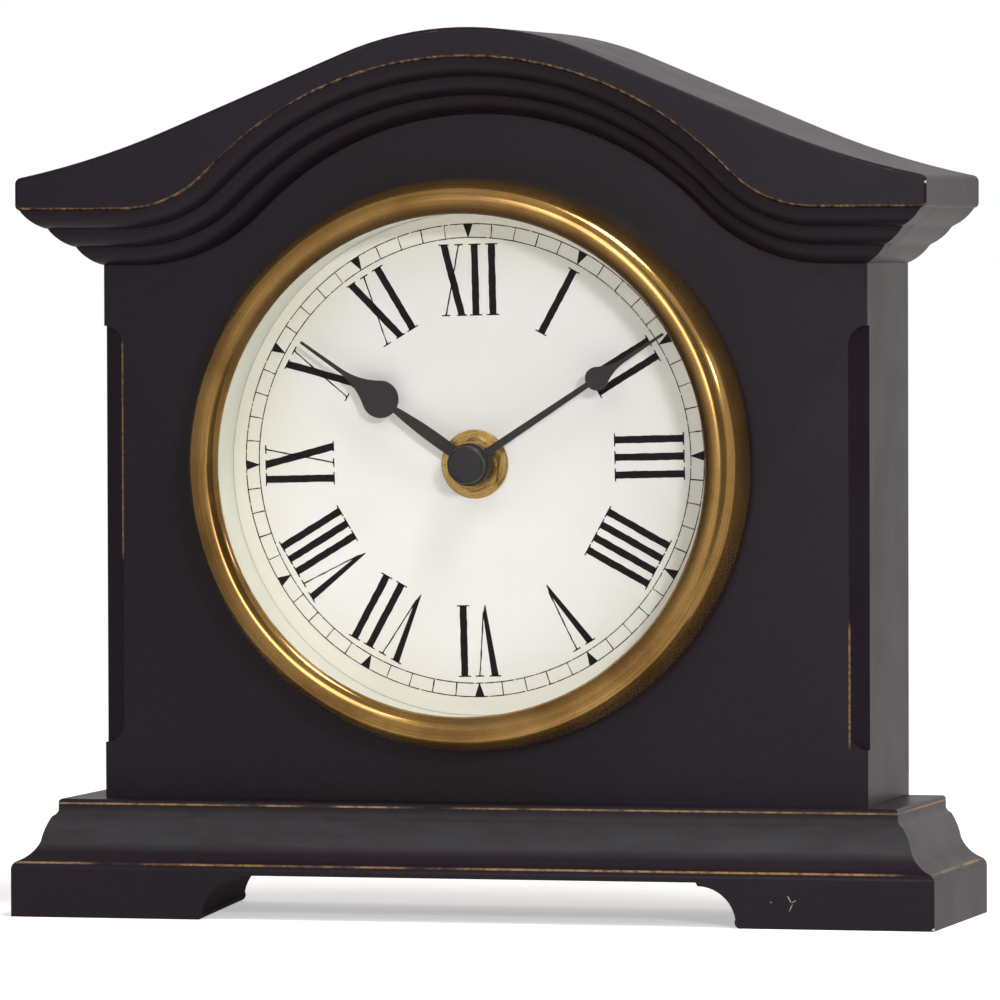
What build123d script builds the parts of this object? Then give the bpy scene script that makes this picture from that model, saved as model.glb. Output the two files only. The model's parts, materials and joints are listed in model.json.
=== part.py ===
from build123d import *
import os
from math import atan2, cos, degrees, hypot, pi, radians, sin, sqrt, tan

# Quartz mantel clock with a painted wooden case. Millimetres.
# X runs to the viewer's right, +Y to the back, +Z up.
# The origin is on the table, under the middle of the plinth.

# ---- case ----
PLINTH_HALF = 108.0          # half of the plinth's width
FRONT_Y = -30.0              # front of the plinth and of the crown
BACK_Y = 30.0                # flat back of the case
PLINTH_TOP = 26.85
PLINTH_FRONT_RATIO = 0.65    # front moulding steps back less than the side moulding
ARCH_HALF_TOP = 53.2         # arch under the plinth, at its ceiling
ARCH_HEIGHT = 10.2
ARCH_LIP = 0.8
ARCH_ROUND = 8.9
ARCH_SPLAY = 7.0             # the arch is this much wider each side at the back
FOOT_ROUND = 1.2
BASE_SCREWS = [(x, y) for x in (-85.2, 85.2) for y in (4.0, 20.0)]
BASE_SCREW_R, BASE_HEAD_R = 1.6, 3.2
BASE_SCREW_TOP = 36.0
BASE_HEAD_Z = 3.0

BODY_HALF = 89.7
FACE_Y = -14.7               # front of the front panel
PANEL_T = 9.0
BACK_T = 3.0
REBATE = 5.0                 # width of the ledge that holds the back panel
CHAMFER_LOW, CHAMFER_HIGH = 39.5, 135.3
CHAMFER_WIDE, CHAMFER_DEEP = 4.5, 2.0
ACCESS_HALF = 38.0           # half of the square window in the back panel
ACCESS_ROUND = 7.0
BACK_SCREWS = [(side * (BODY_HALF - PANEL_T + REBATE / 2), z)
               for side in (-1, 1) for z in (46.0, 99.0, 153.0)]
BACK_SCREW_R, BACK_HEAD_R, BACK_HEAD_T = 1.3, 2.4, 1.4
BACK_SCREW_DEEP = 14.0

CROWN_HALF = 106.4
CROWN_TOP = 202.9
CROWN_ARC_R = 75.0           # convex middle of the top
CROWN_SLOPE = 22.5           # steepest slope, degrees
CROWN_HOLLOW_X = 70.0        # the top turns hollow outside this
CROWN_END_SLOPE = 11.3
CROWN_END_ROUND = 1.5
CROWN_LOW_ROUND = 1.2
FASCIA_LOW = 161.8           # lower edge of the fascia at the ends
FASCIA_APEX = 196.0
FASCIA_ARC_R = 84.5
FASCIA_HOLLOW_R = 27.3
REEDS = 3
REED_DROP = 12.5             # height of the reeded moulding
REED_BULGE = 1.2
RETURN_HALF = 105.2          # top of the moulding at the ends, a little inside the crown
RETURN_BULGE = 0.5           # the reeds are shallower seen end-on

# ---- dial opening ----
CX, CZ = -2.5, 103.7         # axis of the bezel and of the hands
BEZEL_R = 65.2
BEZEL_LIP_R = 57.0
BEZEL_CREST_R = 60.0
BEZEL_WALL = 1.0
BEZEL_SIDE = 2.0             # straight part of the bezel's side
BEZEL_CREST = 12.6           # height of the crest over the panel
BEZEL_LIP = 10.6
GLASS_R = 60.0
GLASS_T = 1.8
GLASS_FRONT_Y = FACE_Y - BEZEL_LIP
GLASS_BACK_Y = GLASS_FRONT_Y + GLASS_T
GASKET_T = 2.4
PAN_R = 57.4                 # inside of the white pan
PAN_T = 1.0
PAN_FLOOR_T = 1.2
PAN_BACK_Y = -10.0
PAN_FLANGE_T = 1.5
PANEL_HOLE_R = 58.9
PAPER_T = 0.2
PAN_SCREW_R, PAN_HEAD_R, PAN_HEAD_T = 1.2, 2.2, 1.4
SCREW_PCR = 61.3
WASHER_R, WASHER_T = 7.85, 0.6
NUT_FLATS, NUT_T = 11.5, 1.35
NUT_TURN = -7.0              # direction of the flat nearest to +X, degrees

# ---- movement, measured from the hand axis (u to the right, w up) ----
MOVEMENT_HALF = 28.0
MOVEMENT_FRONT_Y = -9.0
MOVEMENT_SPLIT_Y = 2.0
MOVEMENT_BACK_Y = 7.0
WALL = 1.2
BAY_TOP = -11.0              # battery bay lies below this height
BUSH_R = 4.0
BUSH_END_Y = -13.2
HOUR_TUBE_R = 2.6
PIPE_R = 1.7
PIPE_END_Y = -19.0
KNOB_Y = (7.4, 11.0)
ARBOR_R = 0.5
STEM_R = 1.0                 # stem of the setting knob
POST_R, POST_TIP_R = 1.0, 0.6
RUN = 0.04                   # radial clearance of a running fit
AA_R = 7.25
AA_LENGTH = 50.5
BATTERY_W = -19.5
BATTERY_Y = -0.3

# ---- hands ----
HOUR_ANGLE = 304.7           # clockwise from twelve, degrees
MINUTE_ANGLE = 56.8
HOUR_Y = -15.2               # front of each blade
MINUTE_Y = -17.2
BLADE_T = 0.4
CAP_FRONT_Y = -20.7

# ---- gear train: teeth, module, level (front, back) ----
LEVEL_A = (-7.6, -6.6)
LEVEL_B = (-6.4, -5.4)
LEVEL_C = (-4.6, -4.0)
PLATE_Y = (-3.6, -2.6)
LEVEL_D = (-2.2, -1.6)
LEVEL_E = (-1.2, -0.6)
LEVEL_F = (-0.2, 0.4)
STATOR_Y = (1.6, 2.4)
BRIDGE_Y = (3.4, 4.4)
BOARD_Y = (2.6, 3.6)
CORE_Y = (0.8, 1.6)
COIL_W = 22.4
PINION = 12
CANNON_M, HOUR_M = 0.45, 0.36
TRAIN_M, CENTRE_M = 0.2, 0.2 * (PINION + 90) / (PINION + 96)
MOTION_TEETH, HOUR_TEETH = 36, 48
CENTRE_TEETH, THIRD_TEETH, SECONDS_TEETH, INTER_TEETH = 96, 90, 72, 60
ADDENDUM, DEDENDUM = 0.7, 0.95
BACKLASH = 0.25              # part of a module

MOTION_DIRECTION = -10.0     # direction of each axis from the one that drives it, degrees
THIRD_DIRECTION = 135.0
INTER_DIRECTION = 45.0
ROTOR_DIRECTION = 60.0


def polar(distance, direction, start=(0.0, 0.0)):
    a = radians(direction)
    return (start[0] + distance * cos(a), start[1] + distance * sin(a))


MOTION_AXIS = polar(CANNON_M * (PINION + MOTION_TEETH) / 2, MOTION_DIRECTION)
THIRD_AXIS = polar(TRAIN_M * (PINION + THIRD_TEETH) / 2, THIRD_DIRECTION)
INTER_AXIS = polar(TRAIN_M * (PINION + SECONDS_TEETH) / 2, INTER_DIRECTION)
ROTOR_AXIS = polar(TRAIN_M * (PINION + INTER_TEETH) / 2, ROTOR_DIRECTION, INTER_AXIS)
PAN_SCREWS = [polar(SCREW_PCR, a, (CX, CZ)) for a in (45, 135, 225, 315)]
PLATE_POSTS = [(-12.0, -7.0), (1.5, 15.2), (19.0, 6.0)]
STATOR_POSTS = [(-11.5, 18.5), (11.0, 19.0)]
BOARD_POSTS = [(-23.0, -5.0), (-23.0, 22.0)]


# ---- small helpers ----
def slab(sketch, y0, y1):
    """Extrude a sketch drawn in X and Z from y0 back to y1."""
    return extrude(Plane.XZ.offset(-y1) * sketch, y1 - y0)


def block(x0, x1, y0, y1, z0, z1):
    return Pos((x0 + x1) / 2, (y0 + y1) / 2, (z0 + z1) / 2) * Box(x1 - x0, y1 - y0, z1 - z0)


def edge(points):
    return Line(*points) if len(points) == 2 else ThreePointArc(*points)


def region(paths):
    """Face bounded by edges, each given by two points, or three for an arc."""
    return make_face(Curve() + [edge(points) for points in paths])


def flip(paths):
    return [tuple((-x, z) for x, z in points) for points in paths]


def arc(cx, cz, r, a0, a1):
    """Arc as three points; angles in degrees from +X."""
    return tuple(polar(r, a, (cx, cz)) for a in (a0, (a0 + a1) / 2, a1))


def disc(r, y0, y1, at=(0.0, 0.0), bore=0.0):
    sketch = Circle(r) - Circle(bore) if bore else Circle(r)
    return slab(Pos(*at) * sketch, y0, y1)


def at_axis(shape):
    """Move a piece drawn about the hand axis to its place in the clock."""
    return Pos(CX, 0, CZ) * shape


def turned(edges):
    """Revolve a section given in (radius, y) about the hand axis."""
    return at_axis(revolve(make_face(Curve() + edges), Axis.Y))


# ---- gears ----
def gear(teeth, module, phase, y0, y1, bore=0.0):
    """Spur gear; phase is the direction of one tooth's middle, degrees."""
    pitch_r = teeth * module / 2
    tip_r = pitch_r + ADDENDUM * module
    root_r = pitch_r - DEDENDUM * module
    half = pi * module / 4 - BACKLASH * module / 2
    tip = (half - tan(radians(22)) * ADDENDUM * module) / tip_r
    root = (half + tan(radians(8)) * DEDENDUM * module) / root_r
    points = []
    for i in range(teeth):
        a = radians(phase) + 2 * pi * i / teeth
        for r, turn in ((root_r, -root), (pitch_r, -half / pitch_r), (tip_r, -tip),
                        (tip_r, tip), (pitch_r, half / pitch_r), (root_r, root)):
            points.append((r * cos(a + turn), r * sin(a + turn)))
    sketch = make_face(Polyline(*points, close=True))
    if bore:
        sketch -= Circle(bore)
    return slab(sketch, y0, y1)


def meshed(teeth_a, phase_a, direction, teeth_b):
    """Phase that puts gear B in mesh with gear A, B lying in a direction from A."""
    pitch_a, pitch_b = 360 / teeth_a, 360 / teeth_b
    turn = ((direction - phase_a) / pitch_a) % 1.0
    return direction + 180 + (turn + 0.5) * pitch_b


# ---- plinth ----
def plinth_edge(half, ratio):
    """Moulded edge of the plinth: distance from the middle against height."""
    def p(inset, z):
        return (half - inset * ratio, z)
    return [(p(0, 0), p(0, 10.9)),
            (p(0, 10.9), p(0.3, 11.95), p(1.1, 12.7)),
            (p(1.1, 12.7), p(4.1, 14.5), p(6.0, 17.2)),
            (p(6.0, 17.2), p(6.9, 20.2), p(8.3, 22.9)),
            (p(8.3, 22.9), p(9.1, 23.4), p(9.6, 24.2)),
            (p(9.6, 24.2), p(9.6, 26.0)),
            (p(9.6, 26.0), p(9.85, 26.6), p(10.5, PLINTH_TOP))]


def arch_face(half):
    """Half-width at the ceiling, with rounded shoulders and rounded foot corners."""
    spring = ARCH_HEIGHT - ARCH_LIP
    foot = half + 0.4 + ARCH_ROUND
    low = spring - ARCH_ROUND
    right = [((0, ARCH_HEIGHT), (half, ARCH_HEIGHT)),
             ((half, ARCH_HEIGHT), (half + 0.4, spring)),
             arc(half + 0.4, low, ARCH_ROUND, 90, 10)]
    end = right[-1][2]
    right.append((end, (foot + 0.1, 0.35), (foot + FOOT_ROUND, 0)))
    right.append(((foot + FOOT_ROUND, 0), (foot + FOOT_ROUND, -2)))
    right.append(((foot + FOOT_ROUND, -2), (0, -2)))
    return region(right + flip(right))


def base_plinth():
    side = plinth_edge(PLINTH_HALF, 1.0)
    top = side[-1][-1]
    body = slab(region(side + flip(side) + [(top, (-top[0], PLINTH_TOP)),
                                            ((PLINTH_HALF, 0), (-PLINTH_HALF, 0))]), FRONT_Y, BACK_Y)
    front = [tuple((-x, z) for x, z in points) for points in plinth_edge(-FRONT_Y, PLINTH_FRONT_RATIO)]
    lip = front[-1][-1]
    section = region(front + [(lip, (BACK_Y, PLINTH_TOP)), ((BACK_Y, PLINTH_TOP), (BACK_Y, 0)),
                              ((BACK_Y, 0), (FRONT_Y, 0))])
    body &= extrude(Plane.YZ.offset(-PLINTH_HALF) * section, 2 * PLINTH_HALF)
    arch = loft([Plane.XZ.offset(-FRONT_Y) * arch_face(ARCH_HALF_TOP),
                 Plane.XZ.offset(-BACK_Y) * arch_face(ARCH_HALF_TOP + ARCH_SPLAY)], ruled=True)
    body -= arch
    for spot in BASE_SCREWS:
        body -= Pos(*spot, 0) * (base_screw_body() + upright(BASE_HEAD_R, 0, BASE_HEAD_Z))
    return body


def upright(r, z0, z1):
    return Pos(0, 0, (z0 + z1) / 2) * Cylinder(r, z1 - z0)


def base_screw_body():
    """Countersunk wood screw pointing up."""
    taper_top = BASE_HEAD_Z + 2.2
    taper = Pos(0, 0, (BASE_HEAD_Z + taper_top) / 2) * Cone(BASE_HEAD_R, BASE_SCREW_R, taper_top - BASE_HEAD_Z)
    return taper + upright(BASE_SCREW_R, taper_top, BASE_SCREW_TOP)


def base_screw(spot):
    slot = Pos(0, 0, BASE_HEAD_Z) * Box(2 * BASE_HEAD_R, 0.8, 1.4)
    return Pos(*spot, 0) * (base_screw_body() - slot)


# ---- crown ----
HOLLOW_X = sqrt((FASCIA_ARC_R + FASCIA_HOLLOW_R) ** 2
                - (FASCIA_LOW + FASCIA_HOLLOW_R - FASCIA_APEX + FASCIA_ARC_R) ** 2)
ARC_CZ = FASCIA_APEX - FASCIA_ARC_R
HOLLOW_CZ = FASCIA_LOW + FASCIA_HOLLOW_R
FASCIA_TURN = degrees(atan2(HOLLOW_X, HOLLOW_CZ - ARC_CZ))


def fascia_line(half):
    """Lower edge of the fascia, from the middle to the right."""
    line = [arc(0, ARC_CZ, FASCIA_ARC_R, 90, 90 - FASCIA_TURN),
            arc(HOLLOW_X, HOLLOW_CZ, FASCIA_HOLLOW_R, 270 - FASCIA_TURN, 270)]
    line[1] = (line[0][2],) + line[1][1:]
    return line + [(line[1][2], (half, FASCIA_LOW))]


def top_line():
    """Top of the crown, from the middle to the right end."""
    middle = arc(0, CROWN_TOP - CROWN_ARC_R, CROWN_ARC_R, 90, 90 - CROWN_SLOPE)
    x, z = middle[2]
    knee = (CROWN_HOLLOW_X, z - tan(radians(CROWN_SLOPE)) * (CROWN_HOLLOW_X - x))
    span = sin(radians(CROWN_SLOPE)) - sin(radians(CROWN_END_SLOPE))
    r = (CROWN_HALF - CROWN_HOLLOW_X) / span
    centre = polar(r, 90 - CROWN_SLOPE, knee)
    hollow = arc(*centre, r, 270 - CROWN_SLOPE, 270 - CROWN_END_SLOPE)
    return [middle, (middle[2], knee), (knee,) + hollow[1:]]


def crown_block():
    right = top_line()
    tip = right[-1][-1]
    right += [(tip, (CROWN_HALF, FASCIA_LOW))] + fascia_line(CROWN_HALF)
    face = region(right + flip(right))
    tips = face.vertices().filter_by(lambda v: abs(v.Y - tip[1]) < 0.01 and abs(abs(v.X) - CROWN_HALF) < 0.01)
    face = fillet(tips, CROWN_END_ROUND)
    heels = face.vertices().filter_by(lambda v: abs(v.Y - FASCIA_LOW) < 0.01 and abs(abs(v.X) - CROWN_HALF) < 0.01)
    return slab(fillet(heels, CROWN_LOW_ROUND), FRONT_Y, BACK_Y)


def reeds(width, bulge):
    """Reeded slope as arcs of (depth, drop), stepping back over a width."""
    step = (width / REEDS, REED_DROP / REEDS)
    chord = hypot(*step)
    out = (-step[1] / chord * bulge, step[0] / chord * bulge)
    arcs = []
    for i in range(REEDS):
        a = (i * step[0], i * step[1])
        b = ((i + 1) * step[0], (i + 1) * step[1])
        arcs.append((a, ((a[0] + b[0]) / 2 + out[0], (a[1] + b[1]) / 2 + out[1]), b))
    return arcs


def crown_moulding():
    """Reeded moulding under the fascia, following its line across the front."""
    depth = FACE_Y - FRONT_Y

    def section(z):
        paths = [tuple((FRONT_Y + p, z - q) for p, q in points) for points in reeds(depth, REED_BULGE)]
        corner = (FACE_Y, z)
        return region(paths + [(paths[-1][-1], corner), (corner, (FRONT_Y, z))])

    end = extrude(Plane.YZ.offset(HOLLOW_X) * section(FASCIA_LOW), CROWN_HALF - HOLLOW_X)
    hollow_axis = Axis((HOLLOW_X, 0, HOLLOW_CZ), (0, 1, 0))
    hollow = revolve(Plane.YZ.offset(HOLLOW_X) * section(FASCIA_LOW), hollow_axis, FASCIA_TURN)
    arch_axis = Axis((0, 0, ARC_CZ), (0, 1, 0))
    start = (Plane.YZ * section(FASCIA_APEX)).rotate(arch_axis, -FASCIA_TURN)
    moulding = revolve(start, arch_axis, 2 * FASCIA_TURN)
    for piece in (end, hollow):
        moulding += piece
        moulding += mirror(piece, Plane.YZ)
    return moulding & slab(side_outline(), FRONT_Y, FACE_Y)


def side_profile():
    """Reeded moulding seen end-on, at the right."""
    return [tuple((RETURN_HALF - p, FASCIA_LOW - q) for p, q in points)
            for points in reeds(RETURN_HALF - BODY_HALF, RETURN_BULGE)]


def side_outline():
    right = side_profile()
    low, high = right[-1][-1], (RETURN_HALF, CROWN_TOP)
    right += [(low, (0, low[1])), ((RETURN_HALF, FASCIA_LOW), high), (high, (0, CROWN_TOP))]
    return region(right + flip(right))


def cornice_return(side):
    paths = side_profile()
    paths += [(paths[-1][-1], (BODY_HALF, FASCIA_LOW)), ((BODY_HALF, FASCIA_LOW), (RETURN_HALF, FASCIA_LOW))]
    return slab(region(paths if side > 0 else flip(paths)), FACE_Y, BACK_Y)


# ---- body ----
def under_crown(half):
    """Board as wide as 2 x half, from the plinth up to the underside of the crown."""
    right = fascia_line(half)
    right += [((half, FASCIA_LOW), (half, PLINTH_TOP)), ((half, PLINTH_TOP), (0, PLINTH_TOP))]
    return region(right + flip(right))


def stopped_chamfer(side):
    face = Pos(BODY_HALF, (CHAMFER_LOW + CHAMFER_HIGH) / 2) * Rectangle(2 * CHAMFER_WIDE,
                                                                      CHAMFER_HIGH - CHAMFER_LOW)
    face = fillet(face.vertices(), CHAMFER_WIDE - 0.01)
    wedge = Polyline((BODY_HALF - CHAMFER_WIDE, FACE_Y), (BODY_HALF, FACE_Y + CHAMFER_DEEP),
                     (BODY_HALF + 1, FACE_Y), (BODY_HALF, FACE_Y - 1), close=True)
    cut = extrude(make_face(wedge), CHAMFER_HIGH + 1) & slab(face, FACE_Y - 2, FACE_Y + 4)
    return cut if side > 0 else mirror(cut, Plane.YZ)


def front_panel():
    panel = slab(under_crown(BODY_HALF), FACE_Y, FACE_Y + PANEL_T)
    panel -= at_axis(disc(PANEL_HOLE_R, FACE_Y - 1, FACE_Y + PANEL_T + 1))
    for side in (-1, 1):
        panel -= stopped_chamfer(side)
    for spot in PAN_SCREWS:
        panel -= disc(PAN_SCREW_R, FACE_Y, PAN_BACK_Y + 1, spot)
    return panel


def side_panel(side):
    outer, inner = BODY_HALF, BODY_HALF - PANEL_T
    panel = block(inner, outer, FACE_Y + PANEL_T, BACK_Y, PLINTH_TOP, FASCIA_LOW)
    panel -= block(inner - 1, inner + REBATE, BACK_Y - BACK_T, BACK_Y + 1, PLINTH_TOP - 1, FASCIA_LOW + 1)
    for x, z in BACK_SCREWS:
        if x > 0:
            panel -= disc(BACK_SCREW_R, BACK_Y - BACK_SCREW_DEEP, BACK_Y, (x, z))
    for x, y in BASE_SCREWS:
        if x > 0:
            panel -= Pos(x, y, 0) * upright(BASE_SCREW_R, 0, BASE_SCREW_TOP)
    return panel if side > 0 else mirror(panel, Plane.YZ)


def back_panel():
    panel = slab(under_crown(BODY_HALF - PANEL_T + REBATE), BACK_Y - BACK_T, BACK_Y)
    window = Rectangle(2 * ACCESS_HALF, 2 * ACCESS_HALF)
    panel -= slab(Pos(CX, CZ) * fillet(window.vertices(), ACCESS_ROUND), BACK_Y - BACK_T - 1, BACK_Y + 1)
    for spot in BACK_SCREWS:
        panel -= disc(BACK_HEAD_R, BACK_Y - BACK_HEAD_T, BACK_Y, spot)
        panel -= disc(BACK_SCREW_R, BACK_Y - BACK_T, BACK_Y, spot)
    return panel


def driver_cut(spot, reach, y0, y1):
    """Slot for a screwdriver, along X."""
    return block(spot[0] - reach, spot[0] + reach, y0, y1, spot[1] - 0.3, spot[1] + 0.3)


def back_screw(spot):
    """Cross-headed screw, sunk just below the panel."""
    seat = BACK_Y - BACK_HEAD_T
    head = disc(BACK_HEAD_R, seat, BACK_Y - 0.1, spot)
    slot = driver_cut(spot, 1.7, BACK_Y - 0.8, BACK_Y)
    head -= slot
    head -= slot.rotate(Axis((spot[0], 0, spot[1]), (0, 1, 0)), 90)
    return head + disc(BACK_SCREW_R, BACK_Y - BACK_SCREW_DEEP, seat, spot)


# ---- bezel, glass and dial pan ----
def bezel():
    def height(h):
        return FACE_Y - h
    side, crest, lip = height(BEZEL_SIDE), height(BEZEL_CREST), height(BEZEL_LIP)
    roll = BEZEL_CREST_R - BEZEL_LIP_R
    outer = [Line((BEZEL_R, FACE_Y), (BEZEL_R, side)),
             EllipticalCenterArc((BEZEL_CREST_R, side), BEZEL_R - BEZEL_CREST_R, side - crest, -90,
                                 arc_size=90),
             EllipticalCenterArc((BEZEL_CREST_R, lip), roll, lip - crest, 180, arc_size=90),
             Line((BEZEL_LIP_R, lip), (BEZEL_LIP_R + BEZEL_WALL, lip))]
    t = BEZEL_WALL
    inner = [EllipticalCenterArc((BEZEL_CREST_R, lip), roll - t, lip - crest - t, 180, arc_size=90),
             EllipticalCenterArc((BEZEL_CREST_R, side), BEZEL_R - BEZEL_CREST_R - t, side - crest - t, -90,
                                 arc_size=90),
             Line((BEZEL_R - t, side), (BEZEL_R - t, FACE_Y)),
             Line((BEZEL_R - t, FACE_Y), (BEZEL_R, FACE_Y))]
    return turned(outer + inner)


def dial_pan():
    outer = PAN_R + PAN_T
    pan = disc(outer, GLASS_BACK_Y, PAN_BACK_Y) - disc(PAN_R, GLASS_BACK_Y, PAN_BACK_Y - PAN_FLOOR_T)
    pan += disc(BEZEL_R - BEZEL_WALL, FACE_Y - PAN_FLANGE_T, FACE_Y, bore=outer)
    pan = at_axis(pan - disc(BUSH_R + RUN, PAN_BACK_Y - 3, PAN_BACK_Y + 1))
    for spot in PAN_SCREWS:
        pan -= disc(PAN_SCREW_R, FACE_Y - PAN_FLANGE_T, FACE_Y, spot)
    return pan


def pan_screw(spot):
    seat = FACE_Y - PAN_FLANGE_T
    head = disc(PAN_HEAD_R, seat - PAN_HEAD_T, seat, spot)
    head -= driver_cut(spot, 1.6, seat - PAN_HEAD_T - 0.1, seat - 0.8)
    return head + disc(PAN_SCREW_R, seat, PAN_BACK_Y + 1, spot)


def dial_face():
    front = PAN_BACK_Y - PAN_FLOOR_T
    return at_axis(disc(PAN_R - 0.1, front - PAPER_T, front, bore=BUSH_R + RUN))


NUT_SEAT_Y = PAN_BACK_Y - PAN_FLOOR_T - PAPER_T - WASHER_T


def dial_washer():
    """Flat brass washer between the printed dial and the nut."""
    washer = disc(WASHER_R, NUT_SEAT_Y, NUT_SEAT_Y + WASHER_T, bore=BUSH_R + RUN)
    rim = washer.edges().filter_by(GeomType.CIRCLE).sort_by(Axis.Y)[:2].sort_by(SortBy.RADIUS)[-1]
    return at_axis(fillet(rim, 0.25))


def shaft_nut():
    """Thin hexagon nut screwed on the bush, with its corners turned down."""
    corner_r = NUT_FLATS / 2 / cos(pi / 6)
    front = NUT_SEAT_Y - NUT_T
    outline = Polyline(*[polar(corner_r, NUT_TURN + 30 + 60 * i) for i in range(6)], close=True)
    nut = at_axis(slab(make_face(outline), front, NUT_SEAT_Y) - disc(BUSH_R, front - 1, NUT_SEAT_Y + 1))
    corner_y = front + (corner_r - NUT_FLATS / 2) * tan(radians(30))
    return nut & turned([Line((0, front), (NUT_FLATS / 2, front)),
                         Line((NUT_FLATS / 2, front), (corner_r, corner_y)),
                         Line((corner_r, corner_y), (corner_r, NUT_SEAT_Y)),
                         Line((corner_r, NUT_SEAT_Y), (0, NUT_SEAT_Y)),
                         Line((0, NUT_SEAT_Y), (0, front))])


# ---- hands ----
def spade(length, bulb, bulb_r, neck, needle, root, waist):
    """Spade hand pointing up: bulb centre height and radius, needle from its start height."""
    start, half = needle
    r = ((start - bulb) ** 2 + half ** 2 - bulb_r ** 2) / (2 * (bulb_r - half))
    join = (bulb_r * (half + r) / (r + bulb_r), bulb + bulb_r * (start - bulb) / (r + bulb_r))
    foot = bulb - sqrt(bulb_r ** 2 - neck ** 2)
    a = (atan2(foot - bulb, neck) + atan2(join[1] - bulb, join[0])) / 2
    b = (atan2(join[1] - start, join[0] - half - r) - pi) / 2
    tip = 0.32
    right = [((0, 0), (root, 0)),
             ((root, 0), (waist, foot / 2), (neck, foot)),
             ((neck, foot), (bulb_r * cos(a), bulb + bulb_r * sin(a)), join),
             (join, (half + r + r * cos(b), start + r * sin(b)), (half, start)),
             ((half, start), (tip, length - tip)),
             ((tip, length - tip), (tip * 0.7, length - tip * 0.3), (0, length))]
    return right


def hand(outline, front_y, angle, boss_r, boss_y, bore):
    blade = slab(region(outline + flip(outline)), front_y, front_y + BLADE_T)
    piece = blade + disc(boss_r, *boss_y)
    piece -= disc(bore, boss_y[0] - 5, boss_y[1] + 5)
    return at_axis(Rot(0, angle, 0) * piece)


def hour_hand():
    outline = spade(49.0, 26.0, 4.3, 0.75, (38.0, 0.5), 1.0, 1.45)
    return hand(outline, HOUR_Y, HOUR_ANGLE, 4.7, (HOUR_Y - 0.4, HOUR_Y + 1.0), HOUR_TUBE_R)


def minute_hand():
    outline = spade(54.4, 35.8, 2.7, 0.65, (43.5, 0.45), 0.95, 0.85)
    return hand(outline, MINUTE_Y, MINUTE_ANGLE, 4.9, (MINUTE_Y - 0.4, MINUTE_Y + 1.0), PIPE_R)


def centre_cap():
    back, front = MINUTE_Y - 0.4, CAP_FRONT_Y
    cap = turned([Line((0, front), (3.5, front)),
                  ThreePointArc((3.5, front), (4.14, front + 0.26), (4.4, front + 0.9)),
                  Line((4.4, front + 0.9), (4.4, back)),
                  Line((4.4, back), (0, back)),
                  Line((0, back), (0, front))])
    return cap - at_axis(disc(PIPE_R, PIPE_END_Y, back + 1))


# ---- motion work ----
def phases():
    """Tooth phases that put every pair of gears in mesh at rest."""
    found = {"cannon": 0.0}
    found["motion"] = meshed(PINION, 0.0, MOTION_DIRECTION, MOTION_TEETH)
    found["hour"] = meshed(PINION, 0.0, MOTION_DIRECTION + 180, HOUR_TEETH)
    found["third"] = meshed(CENTRE_TEETH, 0.0, THIRD_DIRECTION, PINION)
    found["seconds"] = meshed(THIRD_TEETH, 0.0, THIRD_DIRECTION + 180, PINION)
    found["inter"] = meshed(SECONDS_TEETH, 0.0, INTER_DIRECTION, PINION)
    found["rotor"] = meshed(INTER_TEETH, 0.0, ROTOR_DIRECTION, PINION)
    return found


PHASE = phases()


def place(piece, axis):
    return at_axis(Pos(axis[0], 0, axis[1]) * piece)


def hour_wheel():
    wheel = gear(HOUR_TEETH, HOUR_M, PHASE["hour"], *LEVEL_A, bore=PIPE_R + RUN)
    tube = disc(HOUR_TUBE_R, HOUR_Y - 0.4, LEVEL_A[1], bore=PIPE_R + RUN)
    return at_axis(wheel + tube)


def cannon_pinion():
    bore = ARBOR_R + RUN
    pinion = gear(PINION, CANNON_M, PHASE["cannon"], *LEVEL_B, bore=bore)
    return at_axis(pinion + disc(PIPE_R, PIPE_END_Y, LEVEL_C[1], bore=bore))


def motion_wheel():
    wheel = gear(MOTION_TEETH, CANNON_M, PHASE["motion"], *LEVEL_B)
    wheel += gear(PINION, HOUR_M, 0.0, LEVEL_A[0], LEVEL_B[0])
    wheel += disc(ARBOR_R, -8.4, LEVEL_A[0])
    return place(wheel + disc(STEM_R, LEVEL_B[1], KNOB_Y[0]), MOTION_AXIS)


def set_knob():
    knob = disc(5.6, KNOB_Y[0], KNOB_Y[1])
    knob += gear(30, 0.4, 0.0, KNOB_Y[0] + 0.8, KNOB_Y[1] - 0.6)
    return place(knob - disc(3.6, KNOB_Y[1] - 1.0, KNOB_Y[1]), MOTION_AXIS)


def centre_wheel():
    bore = PIPE_R + 0.02
    wheel = gear(CENTRE_TEETH, CENTRE_M, 0.0, *LEVEL_C, bore=bore)
    return at_axis(wheel + disc(3.0, LEVEL_C[0] - 0.4, LEVEL_C[0], bore=bore))


def third_wheel():
    wheel = gear(PINION, CENTRE_M, PHASE["third"], *LEVEL_C)
    wheel += gear(THIRD_TEETH, TRAIN_M, 0.0, *LEVEL_D)
    return place(wheel + disc(ARBOR_R, -8.4, BRIDGE_Y[1]), THIRD_AXIS)


def seconds_wheel():
    wheel = gear(PINION, TRAIN_M, PHASE["seconds"], *LEVEL_D)
    wheel += gear(SECONDS_TEETH, TRAIN_M, 0.0, *LEVEL_E)
    return at_axis(wheel + disc(ARBOR_R, -16.0, BRIDGE_Y[1]))


def intermediate_wheel():
    wheel = gear(PINION, TRAIN_M, PHASE["inter"], *LEVEL_E)
    wheel += gear(INTER_TEETH, TRAIN_M, 0.0, *LEVEL_F)
    return place(wheel + disc(ARBOR_R, PLATE_Y[0], BRIDGE_Y[1]), INTER_AXIS)


def rotor():
    piece = gear(PINION, TRAIN_M, PHASE["rotor"], *LEVEL_F)
    piece += disc(ARBOR_R, PLATE_Y[0], BRIDGE_Y[1])
    return place(piece + disc(3.0, 0.9, 2.9), ROTOR_AXIS)


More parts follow.
